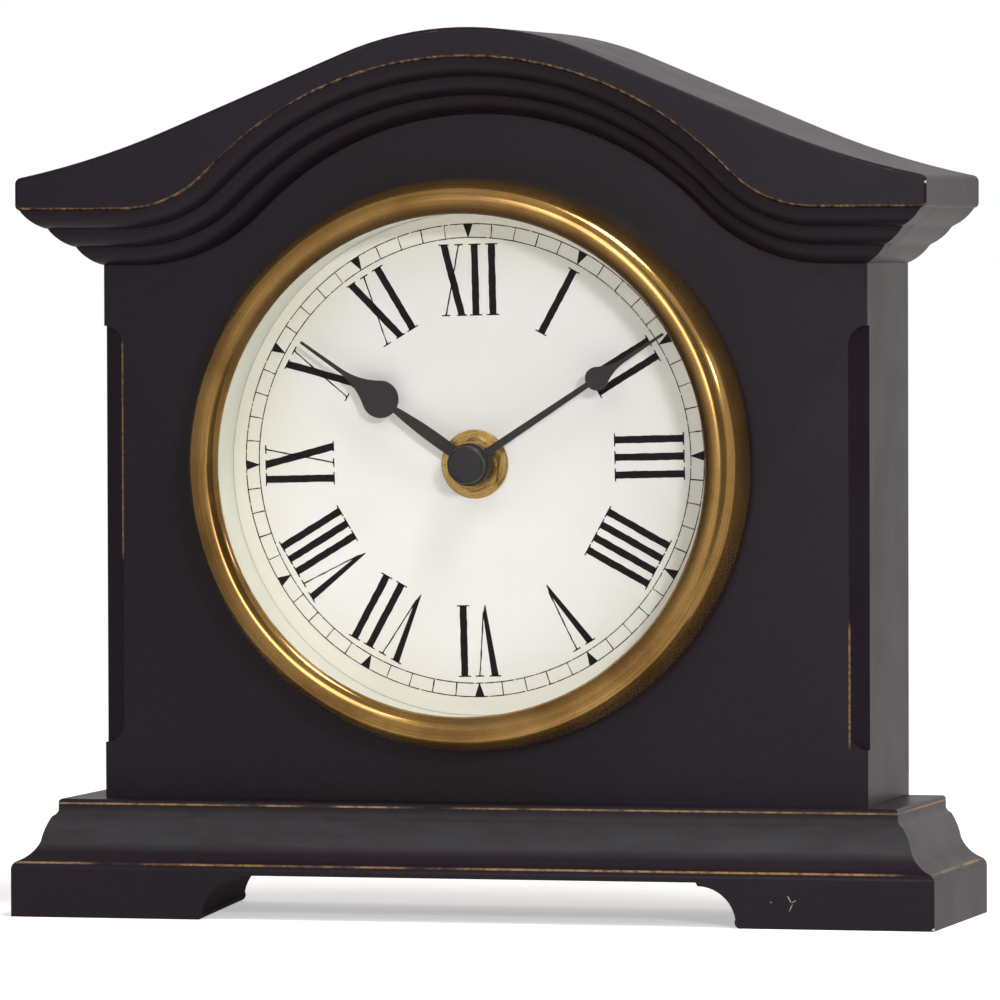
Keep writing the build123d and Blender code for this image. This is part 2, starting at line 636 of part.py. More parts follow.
# ---- movement housing ----
def movement_front_case():
    h, floor = MOVEMENT_HALF, MOVEMENT_FRONT_Y + WALL
    case = block(-h, h, MOVEMENT_FRONT_Y, MOVEMENT_SPLIT_Y, BAY_TOP, h)
    case -= block(-h + WALL, h - WALL, floor, MOVEMENT_SPLIT_Y, BAY_TOP, h - WALL)
    bay = block(-h, h, MOVEMENT_FRONT_Y, MOVEMENT_BACK_Y, -h, BAY_TOP)
    case += bay - block(-h + WALL, h - WALL, floor, MOVEMENT_BACK_Y, -h + WALL, BAY_TOP - 1.0)
    case += disc(BUSH_R, BUSH_END_Y, MOVEMENT_FRONT_Y)
    for spot in PLATE_POSTS:
        case += disc(1.6, floor, PLATE_Y[0], spot)
        case += disc(POST_R, PLATE_Y[0], BRIDGE_Y[0], spot)
        case += disc(POST_TIP_R, BRIDGE_Y[0], BRIDGE_Y[1], spot)
    for spot in STATOR_POSTS:
        case += disc(1.2, floor, STATOR_Y[0], spot)
    for spot in BOARD_POSTS:
        case += disc(1.5, floor, BOARD_Y[0], spot)
    case -= disc(HOUR_TUBE_R + RUN, BUSH_END_Y - 1, floor + 1)
    for axis in (THIRD_AXIS, MOTION_AXIS):
        case -= disc(ARBOR_R + RUN, -8.5, floor + 1, axis)
    return at_axis(case)


def movement_rear_case():
    h, roof = MOVEMENT_HALF, MOVEMENT_BACK_Y - WALL
    case = block(-h, h, MOVEMENT_SPLIT_Y, MOVEMENT_BACK_Y, BAY_TOP, h)
    case -= block(-h + WALL, h - WALL, MOVEMENT_SPLIT_Y, roof, BAY_TOP + WALL, h - WALL)
    return at_axis(case - disc(STEM_R + RUN, roof - 1, MOVEMENT_BACK_Y + 1, MOTION_AXIS))


def pivoted(plate, y, post_r):
    """Drill a plate for the arbors of the train, the setting stem and the posts that hold it."""
    holes = [(axis, ARBOR_R + RUN) for axis in ((0.0, 0.0), THIRD_AXIS, INTER_AXIS, ROTOR_AXIS)]
    holes.append((MOTION_AXIS, STEM_R + RUN))
    holes += [(spot, post_r) for spot in PLATE_POSTS]
    for spot, r in holes:
        plate -= disc(r, y[0] - 1, y[1] + 1, spot)
    return at_axis(plate)


def train_plate():
    return pivoted(block(-14, 21, *PLATE_Y, -9.5, 17), PLATE_Y, POST_R)


def gear_bridge():
    outline = Polyline((-14, -9), (13, -9), (21, 4), (21, 9), (13, 17), (-1, 17), (-13, 11), close=True)
    return pivoted(slab(make_face(outline), *BRIDGE_Y), BRIDGE_Y, POST_TIP_R)


# ---- motor and electronics ----

def stator():
    rx, rw = ROTOR_AXIS
    face = Pos(rx, rw) * Circle(5.6)
    face += Pos(11, (rw + 24) / 2) * Rectangle(4, 24 - rw)
    face += Pos((rx - 13) / 2, 11.6) * Rectangle(rx + 13, 2.8)
    face += Pos(-11, 17.1) * Rectangle(4, 13.8)
    face -= Pos(rx, rw) * Circle(3.4)
    return at_axis(slab(face, *STATOR_Y))


def coil_core():
    return at_axis(block(-13, 13, *CORE_Y, COIL_W - 0.8, COIL_W + 0.8))


def drive_coil():
    middle = (CORE_Y[0] + CORE_Y[1]) / 2
    coil = Cylinder(3.3, 18) + Pos(0, 0, 8.5) * Cylinder(4.2, 1) + Pos(0, 0, -8.5) * Cylinder(4.2, 1)
    coil = Pos(0, middle, COIL_W) * Rot(0, 90, 0) * coil
    coil -= block(-10, 10, *CORE_Y, COIL_W - 0.8, COIL_W + 0.8)
    return at_axis(coil)


def circuit_board():
    return at_axis(block(-26.6, -14, *BOARD_Y, -8, 25))


def controller_chip():
    return at_axis(disc(3.2, BOARD_Y[1], BOARD_Y[1] + 1.2, (-20, 2)))


def quartz_crystal():
    can = Pos(-20, BOARD_Y[1] + 1.0, 14) * Cylinder(1.0, 6.2)
    return at_axis(can)


# ---- battery ----
def battery():
    half = AA_LENGTH / 2
    cell = Pos(-0.5, 0, 0) * Rot(0, 90, 0) * Cylinder(AA_R, AA_LENGTH - 1)
    cell = fillet(cell.edges().filter_by(GeomType.CIRCLE), 0.6)
    cell += Pos(half - 0.5, 0, 0) * Rot(0, 90, 0) * Cylinder(2.7, 1.0)
    return at_axis(Pos(0, BATTERY_Y, BATTERY_W) * cell)


def battery_contact(side):
    """Sprung contact strip with a raised dimple, against the end wall of the bay."""
    wall = MOVEMENT_HALF - WALL
    strip = block(wall - 0.4, wall, BATTERY_Y - 5, BATTERY_Y + 5, BATTERY_W - 4, BATTERY_W + 4)
    reach = wall - 0.4 - AA_LENGTH / 2 - 0.05
    strip += Pos(wall - 0.4 - reach / 2, BATTERY_Y, BATTERY_W) * Rot(0, -90, 0) * Cone(2.4, 1.4, reach)
    return at_axis(strip if side > 0 else mirror(strip, Plane.YZ))


def group(make, spots):
    return Compound(children=[make(spot) for spot in spots])


def write_parts():
    os.makedirs("parts", exist_ok=True)
    parts = {
        "base_plinth": base_plinth(), "base_screws": group(base_screw, BASE_SCREWS),
        "front_panel": front_panel(), "left_side_panel": side_panel(-1), "right_side_panel": side_panel(1),
        "crown_block": crown_block(), "crown_moulding": crown_moulding(),
        "left_cornice_return": cornice_return(-1), "right_cornice_return": cornice_return(1),
        "back_panel": back_panel(), "back_screws": group(back_screw, BACK_SCREWS),
        "bezel": bezel(), "glass": at_axis(disc(GLASS_R, GLASS_FRONT_Y, GLASS_BACK_Y)),
        "glass_gasket": at_axis(disc(GLASS_R, GLASS_BACK_Y, GLASS_BACK_Y + GASKET_T, bore=PAN_R + PAN_T)),
        "dial_pan": dial_pan(), "pan_screws": group(pan_screw, PAN_SCREWS), "dial_face": dial_face(),
        "dial_washer": dial_washer(), "shaft_nut": shaft_nut(),
        "mounting_washer": at_axis(disc(9.0, PAN_BACK_Y, MOVEMENT_FRONT_Y, bore=BUSH_R)),
        "movement_front_case": movement_front_case(), "movement_rear_case": movement_rear_case(),
        "train_plate": train_plate(), "gear_bridge": gear_bridge(),
        "stator": stator(), "coil_core": coil_core(), "drive_coil": drive_coil(),
        "circuit_board": circuit_board(), "controller_chip": controller_chip(),
        "quartz_crystal": quartz_crystal(),
        "battery_contact_positive": battery_contact(1), "battery_contact_negative": battery_contact(-1),
        "battery": battery(),
        "hour_hand": hour_hand(), "hour_wheel": hour_wheel(),
        "minute_hand": minute_hand(), "centre_cap": centre_cap(), "cannon_pinion": cannon_pinion(),
        "motion_wheel": motion_wheel(), "set_knob": set_knob(),
        "centre_wheel": centre_wheel(), "third_wheel": third_wheel(), "seconds_wheel": seconds_wheel(),
        "intermediate_wheel": intermediate_wheel(), "rotor": rotor(),
    }
    for name, shape in parts.items():
        export_step(shape, f"parts/{name}.step")


write_parts()
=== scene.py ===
import json
import random
from math import cos, hypot, pi, radians, sin

import bmesh
import bpy
from mathutils import Euler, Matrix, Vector

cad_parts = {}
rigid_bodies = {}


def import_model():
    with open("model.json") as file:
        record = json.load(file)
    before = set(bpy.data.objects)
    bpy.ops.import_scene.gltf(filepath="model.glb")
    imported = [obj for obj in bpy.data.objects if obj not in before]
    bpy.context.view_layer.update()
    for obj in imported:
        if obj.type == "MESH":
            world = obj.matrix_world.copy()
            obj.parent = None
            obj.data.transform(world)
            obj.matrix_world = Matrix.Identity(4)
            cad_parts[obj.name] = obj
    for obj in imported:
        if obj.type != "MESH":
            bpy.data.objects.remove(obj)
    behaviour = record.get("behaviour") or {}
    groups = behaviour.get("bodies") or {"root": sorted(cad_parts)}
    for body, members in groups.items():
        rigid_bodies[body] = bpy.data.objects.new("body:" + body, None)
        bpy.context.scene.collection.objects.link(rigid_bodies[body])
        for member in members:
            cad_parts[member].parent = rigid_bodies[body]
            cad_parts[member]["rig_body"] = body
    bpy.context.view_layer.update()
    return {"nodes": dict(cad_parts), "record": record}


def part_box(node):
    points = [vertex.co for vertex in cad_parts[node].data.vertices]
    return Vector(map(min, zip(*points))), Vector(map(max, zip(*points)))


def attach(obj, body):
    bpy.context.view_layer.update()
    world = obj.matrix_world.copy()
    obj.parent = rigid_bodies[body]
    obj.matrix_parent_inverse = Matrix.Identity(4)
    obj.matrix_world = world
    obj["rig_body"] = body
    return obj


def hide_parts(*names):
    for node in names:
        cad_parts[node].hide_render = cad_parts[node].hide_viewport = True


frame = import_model()

# Quartz mantel clock. Metres; X to the viewer's right, +Y to the back, +Z up.
MM = 0.001
SCENE = bpy.context.scene.collection
NODES = frame["nodes"]
SLOT_OF = {part["node"]: part["material_slot"] for part in frame["record"]["subparts"]}


def span(node):
    """Lowest, highest and middle corner of a node's box."""
    low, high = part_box(node)
    return low, high, (low + high) / 2


BEZEL_LOW, BEZEL_HIGH, BEZEL_MID = span("bezel")
AXIS_X, AXIS_Z = BEZEL_MID.x, BEZEL_MID.z      # axis of the hands
PAPER_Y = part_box("dial_face")[0].y             # front of the printed dial


# ---------------------------------------------------------------- materials
class Shader:
    """Builds one Principled material, with textures in millimetres."""

    def __init__(self, name, **values):
        self.material = bpy.data.materials.new(name)
        self.material.use_nodes = True
        self.tree = self.material.node_tree
        self.tree.nodes.clear()
        out = self.add("ShaderNodeOutputMaterial")
        self.bsdf = self.add("ShaderNodeBsdfPrincipled")
        self.link(self.bsdf.outputs[0], out.inputs["Surface"])
        for key, value in values.items():
            self.bsdf.inputs[key.replace("_", " ")].default_value = value
        place = self.add("ShaderNodeTexCoord")
        self.mm = self.vector("SCALE", place.outputs["Object"], scale=1 / MM)

    def add(self, kind, **settings):
        node = self.tree.nodes.new(kind)
        for key, value in settings.items():
            setattr(node, key, value)
        return node

    def link(self, a, b):
        self.tree.links.new(a, b)

    def put(self, socket, value):
        if isinstance(value, bpy.types.NodeSocket):
            self.link(value, socket)
        elif value is not None:
            socket.default_value = value

    def vector(self, operation, a, b=None, scale=None):
        node = self.add("ShaderNodeVectorMath", operation=operation)
        self.put(node.inputs[0], a)
        if operation == "SCALE":
            self.put(node.inputs["Scale"], scale)
        else:
            self.put(node.inputs[1], b)
        return node.outputs["Value" if operation in ("DOT_PRODUCT", "DISTANCE") else "Vector"]

    def math(self, operation, a, b=None):
        node = self.add("ShaderNodeMath", operation=operation)
        for socket, value in zip(node.inputs, (a, b)):
            self.put(socket, value)
        return node.outputs[0]

    def noise(self, scale, detail=3.0, rough=0.5, at=None, distortion=0.0):
        """Noise with features about 1/scale millimetres wide."""
        node = self.add("ShaderNodeTexNoise")
        self.put(node.inputs["Vector"], at or self.mm)
        self.put(node.inputs["Scale"], scale)
        self.put(node.inputs["Detail"], detail)
        self.put(node.inputs["Roughness"], rough)
        self.put(node.inputs["Distortion"], distortion)
        return node.outputs["Fac"]

    def cells(self, scale):
        """Distance to the nearest of scattered points, and that point's random colour."""
        node = self.add("ShaderNodeTexVoronoi")
        self.put(node.inputs["Vector"], self.mm)
        self.put(node.inputs["Scale"], scale)
        return node.outputs["Distance"], node.outputs["Color"]

    def ramp(self, value, low, high, out_low=0.0, out_high=1.0):
        node = self.add("ShaderNodeMapRange", interpolation_type="SMOOTHSTEP")
        for socket, v in zip(node.inputs, (value, low, high, out_low, out_high)):
            self.put(socket, v)
        return node.outputs[0]

    def mix(self, factor, a, b):
        node = self.add("ShaderNodeMix", data_type="RGBA")
        self.put(node.inputs[0], factor)
        for socket, value in ((node.inputs[6], a), (node.inputs[7], b)):
            self.put(socket, value)
        return node.outputs[2]

    def split(self, at=None):
        node = self.add("ShaderNodeSeparateXYZ")
        self.put(node.inputs[0], at or self.mm)
        return node.outputs

    def join(self, x, y, z):
        node = self.add("ShaderNodeCombineXYZ")
        for socket, value in zip(node.inputs, (x, y, z)):
            self.put(socket, value)
        return node.outputs[0]

    def stretched(self, x, y, z):
        """Texture space scaled by different amounts along X, Y and Z."""
        return self.vector("MULTIPLY", self.mm, (x, y, z))

    def colour(self, value):
        self.put(self.bsdf.inputs["Base Color"], value)

    def roughness(self, value):
        self.put(self.bsdf.inputs["Roughness"], value)

    def bump(self, height, distance_mm, strength=1.0):
        node = self.add("ShaderNodeBump")
        self.put(node.inputs["Height"], height)
        self.put(node.inputs["Distance"], distance_mm * MM)
        self.put(node.inputs["Strength"], strength)
        self.put(self.bsdf.inputs["Normal"], node.outputs[0])

    def attribute(self, name):
        return self.add("ShaderNodeAttribute", attribute_name=name).outputs["Fac"]

    def facing(self):
        """X, Y and Z of the direction the surface faces."""
        return self.split(self.add("ShaderNodeNewGeometry").outputs["Normal"])


def srgb(r, g, b):
    """Linear colour from 0-255 sRGB."""
    def linear(c):
        c /= 255
        return c / 12.92 if c <= 0.04045 else ((c + 0.055) / 1.055) ** 2.4
    return (linear(r), linear(g), linear(b), 1.0)


PAINT_SPECULAR, SAWN_SPECULAR = 0.22, 0.03
FEET_GAP_HALF = 73.0 * MM            # the sawn arch between the feet ends inside this


def painted_sheen(s, low, high):
    """Painted sheen: how far the paint is lightened to grey, 0 to 1, between two heights in metres."""
    height = s.split()[2]
    band = s.math("MULTIPLY", s.ramp(height, low / MM - 1.0, low / MM + 1.5),
                  s.ramp(height, high / MM + 1.5, high / MM - 1.5))
    patches = s.ramp(s.noise(0.25, 4.0, 0.6, at=s.stretched(0.4, 1.0, 1.5)), 0.25, 0.7, 0.6, 1.0)
    return s.math("MULTIPLY", band, patches)


def rubbed_edges(s, wear_up, wear_down):
    """How far the rounded edges are rubbed, 0 to 1: the faces whose "edge" attribute is 1."""
    amount = s.ramp(s.facing()[2], -0.3, 0.3, wear_down, wear_up)
    threshold = s.math("SUBTRACT", 0.98, amount)
    where = s.ramp(s.noise(0.05, 4.0, 0.6), s.math("SUBTRACT", threshold, 0.06),
                   s.math("ADD", threshold, 0.10))
    ragged = s.math("SUBTRACT", s.attribute("edge"), s.math("MULTIPLY", s.noise(0.8, 2.0, 0.5), 0.7))
    return s.math("MULTIPLY", s.ramp(ragged, 0.5, 0.9), where)


def rubbed_lines(s, rubbed, lines, uprights):
    """Adds the level and the upright lines to what is rubbed."""
    x, _, height = s.split()
    thin = s.math("MULTIPLY", s.ramp(s.noise(0.035, 4.0, 0.6), 0.38, 0.56),
                  s.ramp(s.noise(0.9, 3.0, 0.6), 0.3, 0.6, 0.35, 1.0))
    for z, half in lines:
        away = s.math("ABSOLUTE", s.math("SUBTRACT", height, z / MM))
        rubbed = s.math("MAXIMUM", rubbed, s.math("MULTIPLY", s.ramp(away, half, half * 0.3), thin))
    for place, low, high in uprights:
        away = s.math("ABSOLUTE", s.math("SUBTRACT", x, place / MM))
        part = s.math("MULTIPLY", s.ramp(height, low / MM - 3, low / MM),
                      s.ramp(height, high / MM + 3, high / MM))
        part = s.math("MULTIPLY", part, s.ramp(s.noise(0.9, 3.0, 0.6), 0.3, 0.6, 0.15, 0.7))
        part = s.math("MULTIPLY", part, s.math("LESS_THAN", s.facing()[1], -0.3))
        rubbed = s.math("MAXIMUM", rubbed, s.math("MULTIPLY", s.ramp(away, 0.3, 0.1), part))
    return rubbed


def pale_marks(s, chips, scratches):
    """How far a pale mark shows, 0 to 1: scattered specks, then the chips and scratches."""
    distance, tint = s.cells(0.16)
    chosen = s.ramp(s.split(tint)[0], 0.93, 0.94)
    size = s.math("MULTIPLY", s.split(tint)[1], 0.045)
    marks = s.math("MULTIPLY", s.math("MULTIPLY", chosen, s.math("LESS_THAN", distance, size)), 0.6)
    for place, radius in chips:
        away = s.vector("DISTANCE", s.mm, place / MM)
        ragged = s.math("ADD", away, s.math("MULTIPLY", s.noise(1.5, 3.0), 1.2))
        marks = s.math("MAXIMUM", marks, s.ramp(ragged, radius + 0.6, radius + 0.4))
    for start, end in scratches:
        along = end - start
        t = s.vector("DOT_PRODUCT", s.vector("SUBTRACT", s.mm, start / MM),
                     along * MM / along.length_squared)
        t = s.math("MINIMUM", s.math("MAXIMUM", t, 0.0), 1.0)
        near = s.vector("ADD", s.vector("SCALE", along / MM, scale=t), start / MM)
        away = s.vector("DISTANCE", s.mm, near)
        ragged = s.math("ADD", away, s.math("MULTIPLY", s.noise(2.5, 3.0), 0.3))
        marks = s.math("MAXIMUM", marks, s.ramp(ragged, 0.33, 0.14, 0.0, 0.7))
    return marks


def sawn_arch(s, below):
    """1 on the sawn wood between the feet, under a height in metres."""
    x, _, height = s.split()
    sawn = s.math("LESS_THAN", height, below / MM)
    sawn = s.math("MULTIPLY", sawn, s.math("LESS_THAN", s.math("ABSOLUTE", s.facing()[1]), 0.5))
    return s.math("MULTIPLY", sawn, s.math("LESS_THAN", s.math("ABSOLUTE", x), FEET_GAP_HALF / MM))


def painted_wood(name, wear_up=0.25, wear_down=0.25, lines=(), uprights=(), chips=(), scratches=(),
                 sheen_heights=None, matt_below=0.0):
    """Satin aubergine-black paint, rubbed through to ochre on the edges. Places in metres, rest in mm.

    wear_up and wear_down: how far edges that face up and down are rubbed, 0 to 1.
    lines: (height, half width) of level edges that are rubbed thin; uprights: (x, low, high), the
    same for upright edges seen from the front. chips: (place, radius); scratches: (start, end).
    sheen_heights: heights of a greyer band, a painted sheen. Between the feet, below matt_below, the
    sawn wood is matt.
    """
    s = Shader(name, IOR=1.5, Specular_IOR_Level=PAINT_SPECULAR)
    base = s.mix(s.noise(0.02, 3.0), srgb(22, 15, 22), srgb(28, 20, 29))
    fine = s.noise(0.9, 4.0, 0.6)
    base = s.mix(s.ramp(fine, 0.45, 0.75, 0.0, 0.3), base, srgb(38, 32, 38))
    # The greyer band on the moulding is a painted sheen.
    if sheen_heights:
        base = s.mix(painted_sheen(s, *sheen_heights), base, srgb(46, 45, 48))
    base = s.mix(pale_marks(s, chips, scratches), base, srgb(176, 170, 164))
    ochre = s.mix(s.noise(0.35, 3.0), srgb(160, 126, 76), srgb(112, 90, 66))
    rubbed = rubbed_lines(s, rubbed_edges(s, wear_up, wear_down), lines, uprights)
    s.colour(s.mix(rubbed, base, ochre))

    gloss = s.ramp(s.noise(0.06, 3.0), 0.3, 0.7, 0.33, 0.37)
    gloss = s.math("MAXIMUM", gloss, s.math("MULTIPLY", rubbed, 0.6))
    if matt_below:
        sawn = sawn_arch(s, matt_below)
        gloss = s.math("MAXIMUM", gloss, s.math("MULTIPLY", sawn, 0.85))
        duller = s.math("MULTIPLY", sawn, PAINT_SPECULAR - SAWN_SPECULAR)
        s.put(s.bsdf.inputs["Specular IOR Level"], s.math("SUBTRACT", PAINT_SPECULAR, duller))
    s.roughness(gloss)
    peel = s.noise(0.55, 2.0, 0.4)
    grain = s.noise(1.0, 3.0, 0.5, at=s.stretched(0.05, 1.0, 1.0))
    relief = s.math("ADD", s.math("MULTIPLY", peel, 0.5), s.math("MULTIPLY", grain, 0.15))
    relief = s.math("SUBTRACT", relief, s.math("MULTIPLY", rubbed, 0.5))
    s.bump(relief, 0.05, 0.5)
    return s.material


def ring_coordinates(s):
    """Radius and angle about the hand axis, for turned metal."""
    x, _, z = s.split()
    x = s.math("SUBTRACT", x, AXIS_X / MM)
    z = s.math("SUBTRACT", z, AXIS_Z / MM)
    radius = s.math("SQRT", s.math("ADD", s.math("MULTIPLY", x, x), s.math("MULTIPLY", z, z)))
    return radius, s.math("ARCTAN2", z, x)


def brass(name, bright, dark, roughness, ring=True):
    """Lacquered brass, turned about the hand axis. The bezel's inner rim has painted shade, darkest at
    its top.
    """
    s = Shader(name, Metallic=0.88, IOR=1.5)
    tarnish = s.noise(0.05, 4.0, 0.6)
    base = s.mix(s.ramp(tarnish, 0.35, 0.75), bright, dark)
    spots = s.noise(0.7, 4.0, 0.7)
    base = s.mix(s.ramp(spots, 0.62, 0.78, 0.0, 0.3), base, dark)
    radius, angle = ring_coordinates(s)
    if ring:
        x, depth, z = s.split()
        # Painted shade on the bezel's inner rim, strongest towards the top and right.
        shade_weight = s.ramp(s.math("ADD", z, s.math("MULTIPLY", x, 0.4)),
                       AXIS_Z / MM - 25, AXIS_Z / MM + 30, 0.35, 1.0)
        rim = s.math("MULTIPLY", s.ramp(radius, 60.0, 57.8), shade_weight)
        base = s.mix(s.math("MULTIPLY", rim, 0.9), base, srgb(62, 44, 24))
        turned = s.noise(1.0, 3.0, 0.7, at=s.join(s.math("MULTIPLY", radius, 2.6), 0.0,
                                                  s.math("MULTIPLY", angle, 0.8)))
        base = s.mix(s.ramp(turned, 0.45, 0.72, 0.0, 0.5), base, srgb(110, 78, 42))
        lathe = s.noise(1.0, 3.0, 0.6, at=s.join(s.math("MULTIPLY", radius, 3.0),
                                                 s.math("MULTIPLY", depth, 3.0),
                                                 s.math("MULTIPLY", angle, 1.5)))
    else:
        lathe = s.noise(2.0, 3.0, 0.6)
        turned = s.noise(1.0, 3.0, 0.7, at=s.join(s.math("MULTIPLY", radius, 1.5), 0.0, angle))
        base = s.mix(s.ramp(turned, 0.5, 0.66, 0.0, 0.75), base, srgb(104, 74, 36))
    s.colour(base)
    s.roughness(s.ramp(s.math("ADD", lathe, s.math("MULTIPLY", spots, 0.5)), 0.4, 1.0,
                       roughness, roughness + 0.12))
    s.bump(lathe, 0.002, 0.15)
    return s.material


def plastic(name, colour, worn, roughness=0.45, scale=1.0):
    s = Shader(name, IOR=1.49)
    s.colour(s.mix(s.ramp(s.noise(0.08 * scale, 3.0), 0.3, 0.7), colour, worn))
    s.roughness(s.ramp(s.noise(0.5 * scale, 3.0), 0.3, 0.7, roughness - 0.06, roughness + 0.08))
    s.bump(s.noise(4.0 * scale, 2.0, 0.5), 0.02, 0.35)
    return s.material


def metal(name, colour, worn, roughness=0.3):
    s = Shader(name, Metallic=1.0)
    s.colour(s.mix(s.ramp(s.noise(0.4, 4.0, 0.6), 0.4, 0.75), colour, worn))
    s.roughness(s.ramp(s.noise(1.5, 3.0), 0.3, 0.7, roughness - 0.06, roughness + 0.12))
    s.bump(s.noise(5.0, 2.0, 0.5), 0.01, 0.3)
    return s.material


def dial_paper():
    """Coated white card, a little darker and yellower towards its rim."""
    s = Shader("dial_paper", IOR=1.45)
    radius, _ = ring_coordinates(s)
    # Darker and yellower towards the rim, and in random patches.
    toward_rim = s.math("ADD", s.ramp(radius, 40.0, 57.0, 0.0, 0.6),
                  s.ramp(s.noise(0.03, 3.0), 0.4, 0.8, 0.0, 0.4))
    base = s.mix(toward_rim, srgb(241, 240, 238), srgb(231, 228, 212))
    fibre = s.noise(2.5, 4.0, 0.6)
    base = s.mix(s.ramp(fibre, 0.6, 0.8, 0.0, 0.06), base, srgb(226, 220, 208))
    s.colour(base)
    s.roughness(s.ramp(fibre, 0.3, 0.7, 0.42, 0.55))
    s.bump(fibre, 0.004, 0.2)
    return s.material


def print_ink():
    s = Shader("dial_ink", IOR=1.45, Specular_IOR_Level=0.2)
    rub = s.noise(3.0, 4.0, 0.7)
    s.colour(s.mix(s.ramp(rub, 0.55, 0.85, 0.0, 0.5), srgb(22, 20, 20), srgb(62, 58, 54)))
    s.roughness(s.ramp(rub, 0.3, 0.7, 0.4, 0.6))
    s.bump(rub, 0.005, 0.3)
    return s.material


def enamel_white():
    s = Shader("pan_enamel", IOR=1.5)
    s.colour(s.mix(s.noise(0.06, 3.0), srgb(216, 217, 206), srgb(206, 207, 194)))
    s.roughness(s.ramp(s.noise(0.08, 3.0), 0.3, 0.7, 0.38, 0.42))
    s.bump(s.noise(0.3, 2.0), 0.002, 0.1)
    return s.material


def black_hands():
    """Black lacquered sheet metal."""
    s = Shader("hand_lacquer", IOR=1.5, Specular_IOR_Level=0.35)
    s.colour(s.mix(s.noise(0.3, 3.0), srgb(40, 37, 38), srgb(52, 49, 50)))
    s.roughness(s.ramp(s.noise(1.2, 3.0), 0.3, 0.7, 0.34, 0.48))
    s.bump(s.noise(3.0, 3.0, 0.6), 0.01, 0.4)
    return s.material


def hardboard():
    """Brown pressed fibreboard."""
    s = Shader("hardboard", IOR=1.45)
    fibre = s.noise(0.8, 5.0, 0.7, distortion=0.6)
    flecks = s.noise(2.2, 4.0, 0.7, at=s.stretched(1.0, 1.0, 0.35))
    base = s.mix(s.noise(0.03, 3.0), srgb(112, 78, 50), srgb(92, 62, 38))
    base = s.mix(s.ramp(fibre, 0.45, 0.7, 0.0, 0.7), base, srgb(70, 45, 27))
    s.colour(s.mix(s.ramp(flecks, 0.6, 0.75, 0.0, 0.6), base, srgb(150, 116, 80)))
    s.roughness(s.ramp(fibre, 0.3, 0.7, 0.48, 0.68))
    s.bump(s.math("ADD", fibre, flecks), 0.05, 0.5)
    return s.material


def clear_glass():
    s = Shader("window_glass", Alpha=0.05, IOR=1.45)
    s.colour(s.mix(s.noise(0.05, 2.0), srgb(18, 22, 20), srgb(28, 32, 30)))
    s.roughness(s.ramp(s.noise(0.1, 3.0), 0.3, 0.7, 0.02, 0.06))
    s.bump(s.noise(0.05, 2.0), 0.01, 0.2)
    return s.material


def battery_sleeve():
    """Plain printed sleeve with a copper-coloured end, no lettering."""
    s = Shader("battery_sleeve", Metallic=0.4, IOR=1.5)
    x = s.split()[0]
    copper_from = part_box("battery")[1].x / MM - 16.2
    end = s.ramp(x, copper_from, copper_from + 0.2)
    base = s.mix(end, srgb(28, 30, 34), srgb(176, 112, 62))
    s.colour(s.mix(s.ramp(s.noise(0.5, 3.0), 0.5, 0.8, 0.0, 0.3), base, srgb(90, 84, 80)))
    s.roughness(s.ramp(s.noise(0.6, 3.0), 0.3, 0.7, 0.22, 0.36))
    s.bump(s.noise(0.9, 2.0), 0.02, 0.3)
    return s.material


def circuit_board():
    s = Shader("circuit_board", IOR=1.5)
    s.colour(s.mix(s.noise(0.3, 3.0), srgb(128, 92, 44), srgb(104, 72, 34)))
    s.roughness(s.ramp(s.noise(1.0, 3.0), 0.3, 0.7, 0.4, 0.55))
    s.bump(s.noise(3.0, 3.0), 0.02, 0.3)
    return s.material


def coil_wire():
    """Enamelled copper wire, wound round X, with painted shade in the grooves between turns."""
    s = Shader("coil_wire", Metallic=1.0)
    x = s.split()[0]
    turns = s.math("SINE", s.math("MULTIPLY", x, 2 * pi / 0.25))
    # Darker between turns and lighter on their crests: painted shade and highlight.
    s.colour(s.mix(s.ramp(turns, -0.8, 0.6), srgb(96, 40, 18), srgb(190, 100, 52)))
    s.roughness(s.ramp(s.noise(1.0, 2.0), 0.3, 0.7, 0.25, 0.4))
    s.bump(turns, 0.06, 0.6)
    return s.material


PLINTH_LOW, PLINTH_HIGH, _ = span("base_plinth")
PLINTH_TOP, PLINTH_FRONT = PLINTH_HIGH.z, PLINTH_LOW.y
SCRATCHES = [((70.6, 6.1), (70.7, 6.0)), ((74.5, 7.4), (75.2, 6.1)),     # on the right foot: (x, z)
             ((76.2, 6.5), (75.6, 6.1)), ((75.5, 5.6), (74.9, 4.2))]     # of both ends, in mm
FOOT_TOP = 12.5 * MM                 # worn edge under the plinth's moulding


def foot_place(x_mm, z_mm):
    """Place on the front of the plinth."""
    return Vector((x_mm * MM, PLINTH_FRONT, z_mm * MM))


CROWN_CHIP_Z = 167.5 * MM            # near the top of the crown's right end
CROWN_CORNER = Vector((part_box("crown_block")[1].x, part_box("crown_block")[0].y, CROWN_CHIP_Z))
PANEL_LEFT, PANEL_RIGHT = (corner.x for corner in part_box("front_panel"))
CHAMFER = 4.3 * MM                   # width of the stopped chamfers
CASE_PAINT = painted_wood("case_paint", 0.2, 0.2, uprights=[
    (PANEL_RIGHT - CHAMFER, 42 * MM, 66 * MM), (PANEL_LEFT + CHAMFER, 84 * MM, 130 * MM)])
PLINTH_PAINT = painted_wood(
    "plinth_paint", 0.3, 0.3, lines=[(FOOT_TOP, 0.32), (PLINTH_TOP - 1.0 * MM, 0.3)],
    chips=[(Vector((PLINTH_HIGH.x, PLINTH_FRONT, 0.5 * MM)), 0.45)],
    scratches=[tuple(foot_place(*end) for end in scratch) for scratch in SCRATCHES],
    sheen_heights=(15.5 * MM, 24.5 * MM), matt_below=14.0 * MM)
